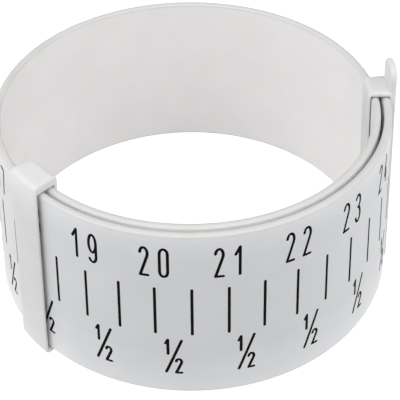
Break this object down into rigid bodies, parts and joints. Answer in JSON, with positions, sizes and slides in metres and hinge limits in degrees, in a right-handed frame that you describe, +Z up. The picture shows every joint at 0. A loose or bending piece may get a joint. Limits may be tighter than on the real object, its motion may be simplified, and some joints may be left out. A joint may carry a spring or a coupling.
{
  "type": "wrist sizing gauge",
  "caption": "Adjustable wrist sizer: a printed plastic strap curled in a loop, its tail sliding through a collar, with a scale and a finger plate.",
  "frame": {"origin": "centre of the bounding box's bottom, level with the finger plate's lower edge", "axes": "+Z up along the strap's width; -Y is the front, where the scale is read; +X towards the finger plate"},
  "size_m": [0.0622, 0.0602, 0.0392],
  "materials": {
    "strap": "satin moulded white polypropylene",
    "collar": "satin moulded white polypropylene",
    "tail_keeper": "satin moulded white polypropylene",
    "ink": "thin black pad-printed ink"
  },
  "bodies": {
    "fixed_end": {"strap_span_00": "strap", "collar": "collar"},
    "span_01": {"strap_span_01": "strap"},
    "span_02": {"strap_span_02": "strap"},
    "span_03": {"strap_span_03": "strap"},
    "span_04": {"strap_span_04": "strap"},
    "span_05": {"strap_span_05": "strap"},
    "span_06": {"strap_span_06": "strap"},
    "span_07": {"strap_span_07": "strap"},
    "span_08": {"strap_span_08": "strap"},
    "span_09": {"strap_span_09": "strap"},
    "span_10": {"strap_span_10": "strap"},
    "span_11": {"strap_span_11": "strap"},
    "span_12": {"strap_span_12": "strap"},
    "span_13": {"strap_span_13": "strap"},
    "span_14": {"strap_span_14": "strap"},
    "span_15": {"strap_span_15": "strap", "scale_print_15": "ink"},
    "span_16": {"strap_span_16": "strap", "scale_print_16": "ink"},
    "span_17": {"strap_span_17": "strap", "scale_print_17": "ink"},
    "span_18": {"strap_span_18": "strap", "scale_print_18": "ink"},
    "span_19": {"strap_span_19": "strap", "scale_print_19": "ink"},
    "span_20": {"strap_span_20": "strap", "scale_print_20": "ink"},
    "span_21": {"strap_span_21": "strap", "scale_print_21": "ink"},
    "span_22": {"strap_span_22": "strap", "scale_print_22": "ink"},
    "span_23": {"strap_span_23": "strap", "scale_print_23": "ink"},
    "span_24": {"strap_span_24": "strap", "scale_print_24": "ink"},
    "tail_end": {"strap_span_25": "strap", "scale_print_25": "ink", "tail_keeper": "tail_keeper"}
  },
  "joints": [
    {"name": "bend_01", "type": "hinge", "parent": "fixed_end", "child": "span_01", "pos_m": [-0.01481, -0.0243, 0.0196], "axis": [0, 0, 1], "range_deg": [-5.54, 4.36]},
    {"name": "bend_02", "type": "hinge", "parent": "span_01", "child": "span_02", "pos_m": [-0.00544, -0.02764, 0.0196], "axis": [0, 0, 1], "range_deg": [-5.51, 4.33]},
    {"name": "bend_03", "type": "hinge", "parent": "span_02", "child": "span_03", "pos_m": [0.00451, -0.02754, 0.0196], "axis": [0, 0, 1], "range_deg": [-5.47, 4.31]},
    {"name": "bend_04", "type": "hinge", "parent": "span_03", "child": "span_04", "pos_m": [0.01382, -0.02403, 0.0196], "axis": [0, 0, 1], "range_deg": [-5.44, 4.28]},
    {"name": "bend_05", "type": "hinge", "parent": "span_04", "child": "span_05", "pos_m": [0.02136, -0.01754, 0.0196], "axis": [0, 0, 1], "range_deg": [-5.4, 4.25]},
    {"name": "bend_06", "type": "hinge", "parent": "span_05", "child": "span_06", "pos_m": [0.02624, -0.00887, 0.0196], "axis": [0, 0, 1], "range_deg": [-5.37, 4.22]},
    {"name": "bend_07", "type": "hinge", "parent": "span_06", "child": "span_07", "pos_m": [0.02786, 0.00095, 0.0196], "axis": [0, 0, 1], "range_deg": [-5.33, 4.2]},
    {"name": "bend_08", "type": "hinge", "parent": "span_07", "child": "span_08", "pos_m": [0.02605, 0.01073, 0.0196], "axis": [0, 0, 1], "range_deg": [-5.3, 4.17]},
    {"name": "bend_09", "type": "hinge", "parent": "span_08", "child": "span_09", "pos_m": [0.02104, 0.01932, 0.0196], "axis": [0, 0, 1], "range_deg": [-5.26, 4.14]},
    {"name": "bend_10", "type": "hinge", "parent": "span_09", "child": "span_10", "pos_m": [0.01341, 0.02572, 0.0196], "axis": [0, 0, 1], "range_deg": [-5.22, 4.11]},
    {"name": "bend_11", "type": "hinge", "parent": "span_10", "child": "span_11", "pos_m": [0.00407, 0.02916, 0.0196], "axis": [0, 0, 1], "range_deg": [-5.19, 4.08]},
    {"name": "bend_12", "type": "hinge", "parent": "span_11", "child": "span_12", "pos_m": [-0.00588, 0.02927, 0.0196], "axis": [0, 0, 1], "range_deg": [-5.15, 4.06]},
    {"name": "bend_13", "type": "hinge", "parent": "span_12", "child": "span_13", "pos_m": [-0.01529, 0.02604, 0.0196], "axis": [0, 0, 1], "range_deg": [-5.12, 4.03]},
    {"name": "bend_14", "type": "hinge", "parent": "span_13", "child": "span_14", "pos_m": [-0.02308, 0.01985, 0.0196], "axis": [0, 0, 1], "range_deg": [-5.08, 4]},
    {"name": "bend_15", "type": "hinge", "parent": "span_14", "child": "span_15", "pos_m": [-0.02836, 0.01142, 0.0196], "axis": [0, 0, 1], "range_deg": [-5.05, 3.97]},
    {"name": "bend_16", "type": "hinge", "parent": "span_15", "child": "span_16", "pos_m": [-0.03054, 0.00171, 0.0196], "axis": [0, 0, 1], "range_deg": [-5.01, 3.95]},
    {"name": "bend_17", "type": "hinge", "parent": "span_16", "child": "span_17", "pos_m": [-0.02939, -0.00818, 0.0196], "axis": [0, 0, 1], "range_deg": [-4.98, 3.92]},
    {"name": "bend_18", "type": "hinge", "parent": "span_17", "child": "span_18", "pos_m": [-0.02502, -0.01713, 0.0196], "axis": [0, 0, 1], "range_deg": [-4.94, 3.89]},
    {"name": "bend_19", "type": "hinge", "parent": "span_18", "child": "span_19", "pos_m": [-0.01796, -0.02414, 0.0196], "axis": [0, 0, 1], "range_deg": [-4.91, 3.86]},
    {"name": "bend_20", "type": "hinge", "parent": "span_19", "child": "span_20", "pos_m": [-0.00898, -0.02844, 0.0196], "axis": [0, 0, 1], "range_deg": [-4.87, 3.83]},
    {"name": "bend_21", "type": "hinge", "parent": "span_20", "child": "span_21", "pos_m": [0.0009, -0.02956, 0.0196], "axis": [0, 0, 1], "range_deg": [-4.84, 3.81]},
    {"name": "bend_22", "type": "hinge", "parent": "span_21", "child": "span_22", "pos_m": [0.01062, -0.0274, 0.0196], "axis": [0, 0, 1], "range_deg": [-4.8, 3.78]},
    {"name": "bend_23", "type": "hinge", "parent": "span_22", "child": "span_23", "pos_m": [0.0191, -0.02219, 0.0196], "axis": [0, 0, 1], "range_deg": [-4.77, 3.75]},
    {"name": "bend_24", "type": "hinge", "parent": "span_23", "child": "span_24", "pos_m": [0.02543, -0.0145, 0.0196], "axis": [0, 0, 1], "range_deg": [-4.73, 3.72]},
    {"name": "bend_25", "type": "hinge", "parent": "span_24", "child": "tail_end", "pos_m": [0.02893, -0.00518, 0.0196], "axis": [0, 0, 1], "range_deg": [-4.7, 3.7]}
  ],
  "couplings": [
    {"joint": "bend_01", "follows": "bend_09", "ratio": 1.0536},
    {"joint": "bend_02", "follows": "bend_09", "ratio": 1.0469},
    {"joint": "bend_03", "follows": "bend_09", "ratio": 1.0402},
    {"joint": "bend_04", "follows": "bend_09", "ratio": 1.0335},
    {"joint": "bend_05", "follows": "bend_09", "ratio": 1.0268},
    {"joint": "bend_06", "follows": "bend_09", "ratio": 1.0201},
    {"joint": "bend_07", "follows": "bend_09", "ratio": 1.0134},
    {"joint": "bend_08", "follows": "bend_09", "ratio": 1.0067},
    {"joint": "bend_10", "follows": "bend_09", "ratio": 0.9933},
    {"joint": "bend_11", "follows": "bend_09", "ratio": 0.98659},
    {"joint": "bend_12", "follows": "bend_09", "ratio": 0.97989},
    {"joint": "bend_13", "follows": "bend_09", "ratio": 0.97318},
    {"joint": "bend_14", "follows": "bend_09", "ratio": 0.96648},
    {"joint": "bend_15", "follows": "bend_09", "ratio": 0.95977},
    {"joint": "bend_16", "follows": "bend_09", "ratio": 0.95307},
    {"joint": "bend_17", "follows": "bend_09", "ratio": 0.94637},
    {"joint": "bend_18", "follows": "bend_09", "ratio": 0.93966},
    {"joint": "bend_19", "follows": "bend_09", "ratio": 0.93296},
    {"joint": "bend_20", "follows": "bend_09", "ratio": 0.92625},
    {"joint": "bend_21", "follows": "bend_09", "ratio": 0.91955},
    {"joint": "bend_22", "follows": "bend_09", "ratio": 0.91284},
    {"joint": "bend_23", "follows": "bend_09", "ratio": 0.90614},
    {"joint": "bend_24", "follows": "bend_09", "ratio": 0.89943},
    {"joint": "bend_25", "follows": "bend_09", "ratio": 0.89273}
  ]
}
